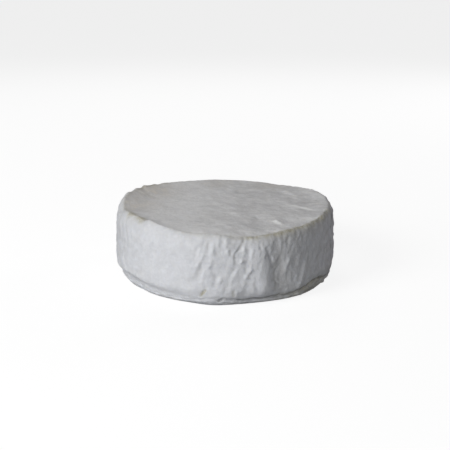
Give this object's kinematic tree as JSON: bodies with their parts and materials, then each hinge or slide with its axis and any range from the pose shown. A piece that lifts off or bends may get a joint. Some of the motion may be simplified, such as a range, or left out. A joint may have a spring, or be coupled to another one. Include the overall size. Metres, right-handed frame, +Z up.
{
  "type": "cheese wheel",
  "caption": "Small round soft-ripened cheese wheel, whole and uncut, in a white bloomy rind with a wrinkled side, an uneven raised rim and a pressed-out lip round its flat base.",
  "frame": {"origin": "under the middle of the wheel, on the plane of its flat base", "axes": "+Z up through the wheel's thickness; -Y is the front, the side with the folded rind to its right"},
  "size_m": [0.1092, 0.1098, 0.0367],
  "materials": {
    "rind": "matt white mould rind with a fine velvety nap, thin beige to olive patches along the rim's edge"
  },
  "bodies": {
    "root": {"wheel": "rind"}
  },
  "joints": []
}
